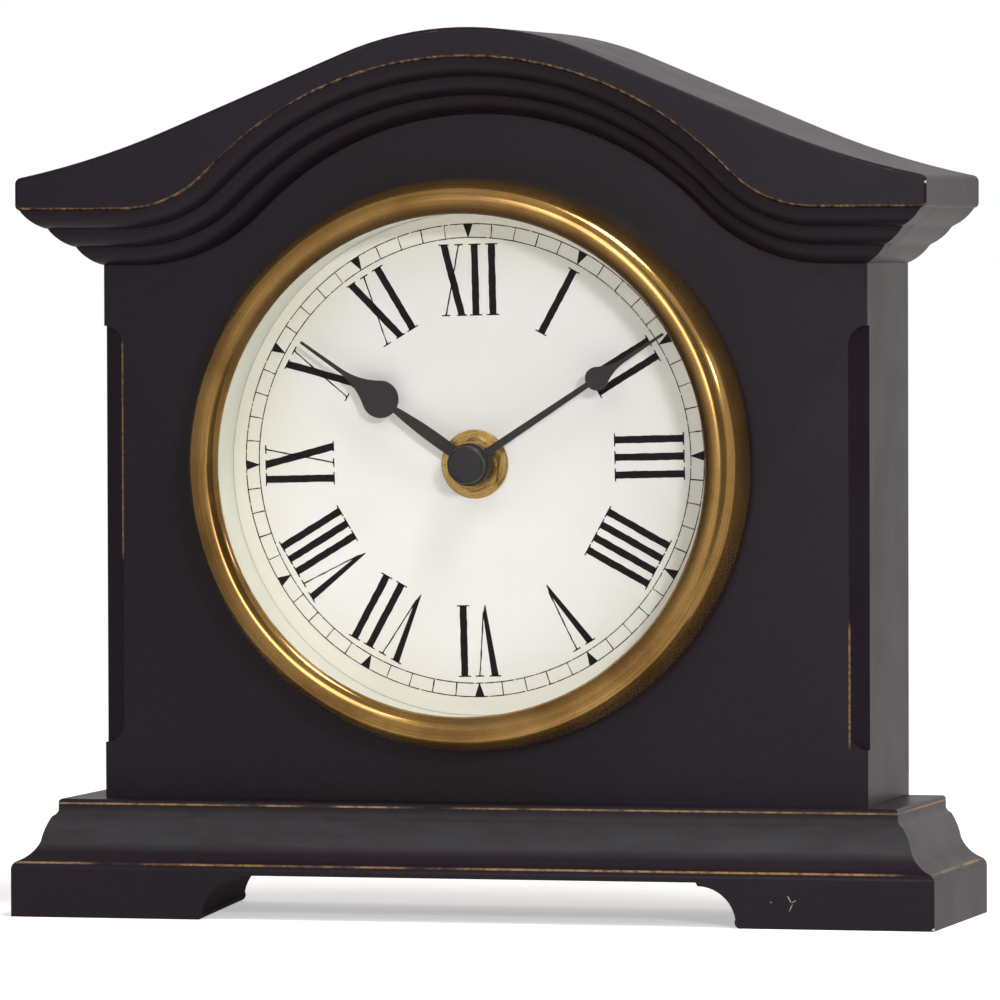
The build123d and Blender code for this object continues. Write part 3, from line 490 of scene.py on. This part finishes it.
CROWN_PAINT = painted_wood("crown_paint", 0.3, 0.6, chips=[(CROWN_CORNER, 0.5)])
BRASS = brass("aged_brass", srgb(192, 152, 90), srgb(150, 112, 62), 0.08)
NUT_BRASS = brass("nut_brass", srgb(242, 208, 130), srgb(190, 150, 86), 0.22, ring=False)
BLACK_PLASTIC = plastic("black_plastic", srgb(34, 32, 33), srgb(44, 42, 42), 0.42)
WHITE_NYLON = plastic("white_nylon", srgb(232, 230, 222), srgb(214, 210, 198), 0.4, 2.0)
STEEL = metal("steel", srgb(176, 178, 182), srgb(128, 126, 124), 0.28)
SCREW_STEEL = metal("screw_steel", srgb(150, 146, 140), srgb(84, 72, 60), 0.34)
RUBBER = plastic("gasket_rubber", srgb(30, 30, 30), srgb(44, 43, 42), 0.7, 2.0)
HANDS_BLACK = black_hands()

FINISH = {
    "wood": CASE_PAINT, "hardboard": hardboard(), "brass": BRASS, "glass": clear_glass(),
    "white_pan": enamel_white(), "dial_paper": dial_paper(), "black_hands": HANDS_BLACK,
    "black_plastic": BLACK_PLASTIC, "white_nylon": WHITE_NYLON, "steel": STEEL,
    "screw_steel": SCREW_STEEL, "rubber": RUBBER, "board": circuit_board(), "copper": coil_wire(),
    "battery_sleeve": battery_sleeve(),
}
OWN_FINISH = {"base_plinth": PLINTH_PAINT, "crown_block": CROWN_PAINT, "shaft_nut": NUT_BRASS,
              "dial_washer": NUT_BRASS}


def dress():
    """Give every CAD node the finish of its material slot, or its own."""
    for node, slot in SLOT_OF.items():
        mesh = NODES[node].data
        mesh.materials.clear()
        mesh.materials.append(OWN_FINISH.get(node, FINISH[slot]))


# ---------------------------------------------------------------- mesh helpers
def piece(name, mesh, material, body, stands_for=()):
    """Put a mesh in the scene as a piece that rides on a body."""
    obj = bpy.data.objects.new(name, mesh)
    SCENE.objects.link(obj)
    obj.data.materials.clear()
    obj.data.materials.append(material)
    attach(obj, body)
    if stands_for:
        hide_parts(*stands_for)
    return obj


def smooth_by_angle(mesh, degrees):
    """Shade smooth, with sharp edges where faces meet at more than an angle."""
    bm = bmesh.new()
    bm.from_mesh(mesh)
    for face in bm.faces:
        face.smooth = True
    for edge in bm.edges:
        edge.smooth = edge.calc_face_angle(0.0) < radians(degrees)
    bm.to_mesh(mesh)
    bm.free()


def softened(node, width_mm, material, least=25.0, segments=3, hollows_mm=0.0):
    """Stand-in for a CAD node, the same shape with its edges rounded.

    hollows_mm: inward corners are first filled with paint by this much.
    """
    bm = bmesh.new()
    bm.from_mesh(NODES[node].data)
    bmesh.ops.remove_doubles(bm, verts=bm.verts, dist=0.002 * MM)
    bmesh.ops.dissolve_limit(bm, angle_limit=radians(0.3), verts=bm.verts, edges=bm.edges)

    def corners(outward):
        """Sharp edges: the outward ones, the inward ones, or with None both."""
        return [e for e in bm.edges if len(e.link_faces) == 2 and e.calc_face_angle(0.0) > radians(least)
                and (outward is None or (e.calc_face_angle_signed(0.0) > 0) == outward)]

    if hollows_mm:
        bmesh.ops.bevel(bm, geom=corners(False), offset=hollows_mm * MM, segments=4, profile=0.5,
                        affect="EDGES", clamp_overlap=True)
    sharp = corners(True if hollows_mm else None)
    on_edge = bm.faces.layers.float.new("edge")
    rounded = bmesh.ops.bevel(bm, geom=sharp, offset=width_mm * MM, segments=segments, profile=0.5,
                              affect="EDGES", clamp_overlap=True)
    for face in rounded["faces"]:
        face[on_edge] = 1.0
    bmesh.ops.dissolve_degenerate(bm, dist=0.008 * width_mm * MM, edges=bm.edges)
    mesh = bpy.data.meshes.new(node + "_rounded")
    bm.to_mesh(mesh)
    bm.free()
    smooth_by_angle(mesh, 30)
    obj = piece(node + "_rounded", mesh, material, NODES[node]["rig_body"], [node])
    flats = obj.modifiers.new("flat_faces", "WEIGHTED_NORMAL")
    flats.keep_sharp = True
    flats.weight = 90


def lathe(name, profile, steps):
    """Closed ring about the hand axis from a closed section of (radius, y) in metres."""
    count = len(profile)
    verts, faces = [], []
    for i in range(steps):
        a = 2 * pi * i / steps
        for r, y in profile:
            verts.append((AXIS_X + r * sin(a), y, AXIS_Z + r * cos(a)))
    for i in range(steps):
        j = (i + 1) % steps
        for k in range(count):
            m = (k + 1) % count
            faces.append((i * count + k, i * count + m, j * count + m, j * count + k))
    mesh = bpy.data.meshes.new(name)
    mesh.from_pydata(verts, [], faces)
    bm = bmesh.new()
    bm.from_mesh(mesh)
    bmesh.ops.recalc_face_normals(bm, faces=bm.faces)
    bm.to_mesh(mesh)
    bm.free()
    return mesh


def ellipse_arc(centre, semi, start, stop, steps, fullness=1.0):
    """Points (radius, y) on an ellipse from start to stop degrees, 0 outwards and 90 to the front.

    A fullness above 1 makes each quarter squarer, and one below 1 flatter.
    """
    points = []
    for i in range(steps + 1):
        a = radians(start + (stop - start) * i / steps)
        out, up = (abs(c) ** (1 / fullness) * (1 if c >= 0 else -1) for c in (cos(a), sin(a)))
        points.append((centre[0] + semi[0] * out, centre[1] - semi[1] * up))
    return points


# ---------------------------------------------------------------- bezel
BEZEL_R = (BEZEL_HIGH.x - BEZEL_LOW.x) / 2
BEZEL_LIP_R = 57.0 * MM
CREST_R = 60.0 * MM
BEZEL_SIDE = 2.0 * MM
LIP_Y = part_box("glass")[0].y
SHEET = 1.0 * MM


def make_bezel():
    """Spun brass ring: rounded crest, thin rolled lip over the glass."""
    back, front = BEZEL_HIGH.y, BEZEL_LOW.y
    side = back - BEZEL_SIDE
    outer = [(BEZEL_R - 0.15 * MM, back), (BEZEL_R, back - 0.15 * MM)]
    outer += ellipse_arc((CREST_R, side), (BEZEL_R - CREST_R, side - front), 0, 90, 36, 1.3)
    outer += ellipse_arc((CREST_R, LIP_Y), (CREST_R - BEZEL_LIP_R, LIP_Y - front), 90, 180, 16)[1:]
    inner = [(BEZEL_LIP_R + SHEET, LIP_Y)]
    inner += ellipse_arc((CREST_R, LIP_Y), (CREST_R - BEZEL_LIP_R - SHEET, LIP_Y - front - SHEET),
                         170, 90, 6)
    inner += ellipse_arc((CREST_R, side), (BEZEL_R - CREST_R - SHEET, side - front - SHEET), 80, 0, 10)
    inner += [(BEZEL_R - SHEET, back)]
    mesh = lathe("bezel_ring", outer + inner, 360)
    smooth_by_angle(mesh, 40)
    piece("bezel_ring", mesh, BRASS, "case", ["bezel"])


# ---------------------------------------------------------------- dial print
PRINT_X = AXIS_X - 0.3 * MM          # the print is a little off the axis, and turned
PRINT_Z = AXIS_Z + 0.85 * MM
PRINT_TURN = radians(-1.33)
INK_T = 0.02 * MM
TRACK_IN, TRACK_OUT = 50.86, 53.96   # minute track
NUMERAL_IN, NUMERAL_OUT = 33.0, 49.4
TALL = NUMERAL_OUT - NUMERAL_IN
THICK, THIN, LINE = 1.65, 0.3, 0.24
SERIF = 1.45                          # half the width of a serif
NUMERALS = ["XII", "I", "II", "III", "IIII", "V", "VI", "VII", "VIII", "IX", "X", "XI"]


class Ink:
    """Collects flat outlines in dial millimetres and makes them one thin printed layer."""

    def __init__(self, seed):
        self.random = random.Random(seed)
        self.verts, self.faces = [], []

    def outline(self, points, turn=0.0, out=0.0):
        """One outline of (across, up), placed at an angle clockwise from twelve and a radius."""
        a = turn + PRINT_TURN
        first, count = len(self.verts), len(points)
        flat = []
        for u, v in points:
            r = v + out
            flat.append((PRINT_X + (u * cos(a) + r * sin(a)) * MM,
                         PRINT_Z + (r * cos(a) - u * sin(a)) * MM))
        for depth in (PAPER_Y - INK_T, PAPER_Y - INK_T * 0.1):
            self.verts += [(x, depth, z) for x, z in flat]
        self.faces.append([first + i for i in range(count)])
        self.faces.append([first + count + i for i in reversed(range(count))])
        for i in range(count):
            j = (i + 1) % count
            self.faces.append([first + j, first + i, first + count + i, first + count + j])

    def rough_line(self, start, end, width, turn=0.0, out=0.0, flat_ends=True, jitter=0.06):
        """Straight stroke with slightly uneven edges; its ends are cut level or square."""
        (x0, y0), (x1, y1) = start, end
        length = hypot(x1 - x0, y1 - y0)
        if flat_ends and abs(y1 - y0) > abs(x1 - x0):
            across = (width / 2 * length / abs(y1 - y0), 0.0)
        else:
            across = (-(y1 - y0) / length * width / 2, (x1 - x0) / length * width / 2)
        steps = max(2, int(length / 0.9))
        left, right = [], []
        for i in range(steps + 1):
            t = i / steps
            x, y = x0 + (x1 - x0) * t, y0 + (y1 - y0) * t
            for side, edge in ((1, left), (-1, right)):
                k = side * (1 + self.random.uniform(-jitter, jitter) / max(width / 2, 0.1))
                edge.append((x + across[0] * k, y + across[1] * k))
        self.outline(left + right[::-1], turn, out)

    def mesh(self, name):
        mesh = bpy.data.meshes.new(name)
        mesh.from_pydata(self.verts, [], self.faces)
        bm = bmesh.new()
        bm.from_mesh(mesh)
        bmesh.ops.recalc_face_normals(bm, faces=bm.faces)
        bm.to_mesh(mesh)
        bm.free()
        return mesh


def serif(ink, x, v, turn, half=SERIF, bracket=0.0):
    """Thin foot or head at height v; bracket fills the corner towards the stroke."""
    inward = 1 if v < TALL / 2 else -1
    ink.rough_line((x - half, v + inward * THIN / 2), (x + half, v + inward * THIN / 2), THIN, turn,
                   NUMERAL_IN, flat_ends=False, jitter=0.02)
    if bracket:
        ink.outline([(x - bracket, v), (x + bracket, v), (x, v + inward * bracket * 1.6)],
                    turn, NUMERAL_IN)


def glyph_i(ink, x, turn):
    ink.rough_line((x, 0), (x, TALL), THICK, turn, NUMERAL_IN)
    for v in (0, TALL):
        serif(ink, x, v, turn)


def glyph_v(ink, x, turn):
    top, apex = x - 1.9, x + 0.1
    lean = (apex - top) / TALL
    cut = 2.2
    ink.outline([(top - THICK / 2, TALL), (top + THICK / 2, TALL), (apex + THICK / 2 - lean * cut, cut),
                 (apex + 0.15, 0), (apex - 0.05, 0)], turn, NUMERAL_IN)
    serif(ink, top, TALL, turn, 1.35)
    ink.rough_line((x + 1.75, TALL), (apex + 0.45, cut * 0.7), THIN, turn, NUMERAL_IN)
    serif(ink, x + 1.75, TALL, turn, 0.95, 0.42)


def glyph_x(ink, x, turn):
    ink.rough_line((x - 1.95, TALL), (x + 2.0, 0), THICK, turn, NUMERAL_IN)
    ink.rough_line((x + 1.6, TALL), (x - 1.75, 0), THIN, turn, NUMERAL_IN)
    serif(ink, x - 1.95, TALL, turn, 1.2)
    serif(ink, x + 2.0, 0, turn, 1.2)
    serif(ink, x + 1.6, TALL, turn, 1.0, 0.45)
    serif(ink, x - 1.75, 0, turn, 1.0, 0.45)


GLYPHS = {"I": glyph_i, "V": glyph_v, "X": glyph_x}
HALF_WIDTH = {"I": 1.5, "V": 3.0, "X": 3.0}


def advance(a, b, text):
    """Distance between the middles of two neighbouring strokes."""
    if a == b == "I":
        return 3.3 if len(text) > 3 else 4.0
    return 4.9 if len(text) > 3 else 5.3


def numeral(ink, text, turn):
    places = [0.0]
    for a, b in zip(text, text[1:]):
        places.append(places[-1] + advance(a, b, text))
    middle = (places[0] - HALF_WIDTH[text[0]] + places[-1] + HALF_WIDTH[text[-1]]) / 2
    for letter, x in zip(text, places):
        GLYPHS[letter](ink, x - middle, turn)


def track_circle(ink, radius):
    """Printed circle, worn through here and there."""
    step = radians(1.0)
    angle = 0.0
    while angle < 2 * pi:
        run = step * ink.random.choice((1, 2, 3, 5, 8))
        stop = min(angle + run, 2 * pi)
        count = max(1, round((stop - angle) / step))
        inside, outside = [], []
        for i in range(count + 1):
            a = angle + (stop - angle) * i / count
            half = LINE / 2 * ink.random.uniform(0.75, 1.1)
            inside.append(((radius - half) * sin(a), (radius - half) * cos(a)))
            outside.append(((radius + half) * sin(a), (radius + half) * cos(a)))
        ink.outline(inside + outside[::-1])
        angle = stop + step * ink.random.choice((0.0, 0.1, 0.2, 0.3, 0.45))


def make_print():
    ink = Ink(7)
    for hour, text in enumerate(NUMERALS):
        numeral(ink, text, hour * pi / 6)
    numerals = piece("dial_numerals", ink.mesh("dial_numerals"), print_ink(), "case")
    track = Ink(11)
    for radius in (TRACK_IN, TRACK_OUT):
        track_circle(track, radius)
    for minute in range(60):
        turn = minute * pi / 30
        if minute % 5:
            track.rough_line((0, TRACK_IN), (0, TRACK_OUT), LINE * track.random.uniform(0.8, 1.1), turn)
        else:
            track.outline([(-1.15, TRACK_OUT), (1.15, TRACK_OUT), (0.08, TRACK_IN), (-0.08, TRACK_IN)],
                          turn)
    piece("dial_minute_track", track.mesh("dial_minute_track"), numerals.data.materials[0],
          "case")


# ---------------------------------------------------------------- stage
CAMERA_TARGET = Vector((1.69, -5.0, 95.34)) * MM
CAMERA_TURN, CAMERA_DOWN = 14.43, 1.68       # degrees to the right of the front, and above it
CAMERA_ROLL = 0.17
CAMERA_AWAY = 2.058
LENS = 324.0


def make_camera():
    data = bpy.data.cameras.new("camera")
    data.lens = LENS
    data.sensor_width = 36.0
    data.clip_start = 0.05
    camera = bpy.data.objects.new("camera", data)
    turn, down = radians(CAMERA_TURN), radians(CAMERA_DOWN)
    away = Vector((sin(turn) * cos(down), -cos(turn) * cos(down), sin(down)))
    camera.location = CAMERA_TARGET + away * CAMERA_AWAY
    aim = (-away).to_track_quat("-Z", "Y")
    camera.rotation_euler = (aim @ Euler((0, 0, radians(-CAMERA_ROLL))).to_quaternion()).to_euler()
    SCENE.objects.link(camera)
    bpy.context.scene.camera = camera


FLOOR_R = 0.55


def make_floor():
    bm = bmesh.new()
    bmesh.ops.create_circle(bm, cap_ends=True, segments=128, radius=FLOOR_R)
    mesh = bpy.data.meshes.new("floor")
    bm.to_mesh(mesh)
    bm.free()
    floor = bpy.data.objects.new("floor", mesh)
    s = Shader("floor_white", IOR=1.4)
    s.colour(s.mix(s.noise(0.002, 2.0), srgb(244, 244, 244), srgb(240, 240, 240)))
    s.bsdf.inputs["Emission Color"].default_value = (1.0, 1.0, 1.0, 1.0)
    s.bsdf.inputs["Emission Strength"].default_value = 0.45
    s.roughness(s.ramp(s.noise(0.01, 2.0), 0.3, 0.7, 0.75, 0.85))
    mesh.materials.append(s.material)
    SCENE.objects.link(floor)
    floor.visible_glossy = False


def softbox(name, towards, away, size, power, colour=(1.0, 1.0, 1.0), glossy=True, diffuse=True):
    """Area light at a distance in a direction from the dial, facing it.

    With diffuse or glossy off it is left out of that kind of reflection.
    """
    light = bpy.data.lights.new(name, "AREA")
    light.shape = "RECTANGLE"
    light.size, light.size_y = size
    light.energy = power
    light.color = colour
    obj = bpy.data.objects.new(name, light)
    direction = Vector(towards).normalized()
    obj.location = Vector((AXIS_X, 0, AXIS_Z)) + direction * away
    obj.rotation_euler = direction.to_track_quat("Z", "Y").to_euler()
    obj.visible_camera = False
    obj.visible_glossy = glossy
    obj.visible_diffuse = diffuse
    SCENE.objects.link(obj)


DARK_WALL = Vector((0.5, -0.85, 0.12)).normalized()
# The room is brighter or darker towards these: axis, from, to, change.
ROOM_GAINS = [(1, 0.3, 0.9, 0.14), (0, 0.0, -0.9, -0.3), (2, -0.4, -0.9, 0.3)]
ROOM, WALL = 0.52, 0.05              # brightness of the room and of its dark corner


def make_world():
    """Pale room with a dark wall in front of the clock; the camera sees it as a white backdrop."""
    world = bpy.data.worlds.new("studio")
    bpy.context.scene.world = world
    world.use_nodes = True
    tree = world.node_tree
    tree.nodes.clear()

    def add(kind, *values):
        node = tree.nodes.new(kind)
        for socket, value in zip(node.inputs, values):
            if isinstance(value, bpy.types.NodeSocket):
                tree.links.new(value, socket)
            elif value is not None:
                socket.default_value = value
        return node

    direction = add("ShaderNodeTexCoord").outputs["Generated"]
    towards = add("ShaderNodeVectorMath", direction, DARK_WALL)
    towards.operation = "DOT_PRODUCT"
    shade = add("ShaderNodeMapRange", towards.outputs["Value"], 0.86, 0.94, ROOM, WALL)
    shade.interpolation_type = "SMOOTHSTEP"
    along = add("ShaderNodeSeparateXYZ", direction)
    strength = shade.outputs[0]
    for axis, start, stop, gain in ROOM_GAINS:
        more = add("ShaderNodeMapRange", along.outputs[axis], start, stop, 0.0, gain)
        total = add("ShaderNodeMath", strength, more.outputs[0])
        total.operation = "ADD"
        strength = total.outputs[0]
    room = add("ShaderNodeBackground", (1.0, 0.955, 0.93, 1.0), strength)
    backdrop = add("ShaderNodeBackground", (1.0, 1.0, 1.0, 1.0), 1.0)
    seen = add("ShaderNodeLightPath").outputs["Is Camera Ray"]
    both = add("ShaderNodeMixShader", seen, room.outputs[0], backdrop.outputs[0])
    add("ShaderNodeOutputWorld", both.outputs[0])


dress()
make_bezel()
make_print()
softened("crown_block", 0.7, CROWN_PAINT)
softened("crown_moulding", 0.4, CASE_PAINT, hollows_mm=1.0)
softened("base_plinth", 0.4, PLINTH_PAINT)
for board in ("front_panel", "left_side_panel", "right_side_panel"):
    softened(board, 0.4, CASE_PAINT)
for end in ("left_cornice_return", "right_cornice_return"):
    softened(end, 0.25, CASE_PAINT, hollows_mm=1.3)
softened("shaft_nut", 0.18, NUT_BRASS)
softened("dial_washer", 0.12, NUT_BRASS)
softened("centre_cap", 0.3, BLACK_PLASTIC)
softened("hour_hand", 0.06, HANDS_BLACK, segments=2)
softened("minute_hand", 0.06, HANDS_BLACK, segments=2)
make_floor()
make_world()
softbox("key_light", (0.38, -0.27, 0.87), 1.6, (0.5, 0.5), 15.0, (1.0, 0.94, 0.88))
softbox("top_light", (-0.25, -0.68, 0.69), 2.0, (1.6, 0.7), 6.0, glossy=False)
softbox("front_light", (0.5, -0.8, 0.28), 2.2, (0.3, 0.24), 19.0, glossy=False)
softbox("glint_light", (-0.08, -0.97, 0.23), 2.2, (0.4, 0.85), 4.8, diffuse=False)
softbox("small_glint_light", (0.007, -0.996, 0.074), 2.2, (0.35, 0.2), 0.9, diffuse=False)
softbox("side_light", (0.9, -0.2, 0.4), 2.0, (0.3, 0.2), 4.0)
make_camera()
bpy.context.scene.view_settings.view_transform = "Standard"
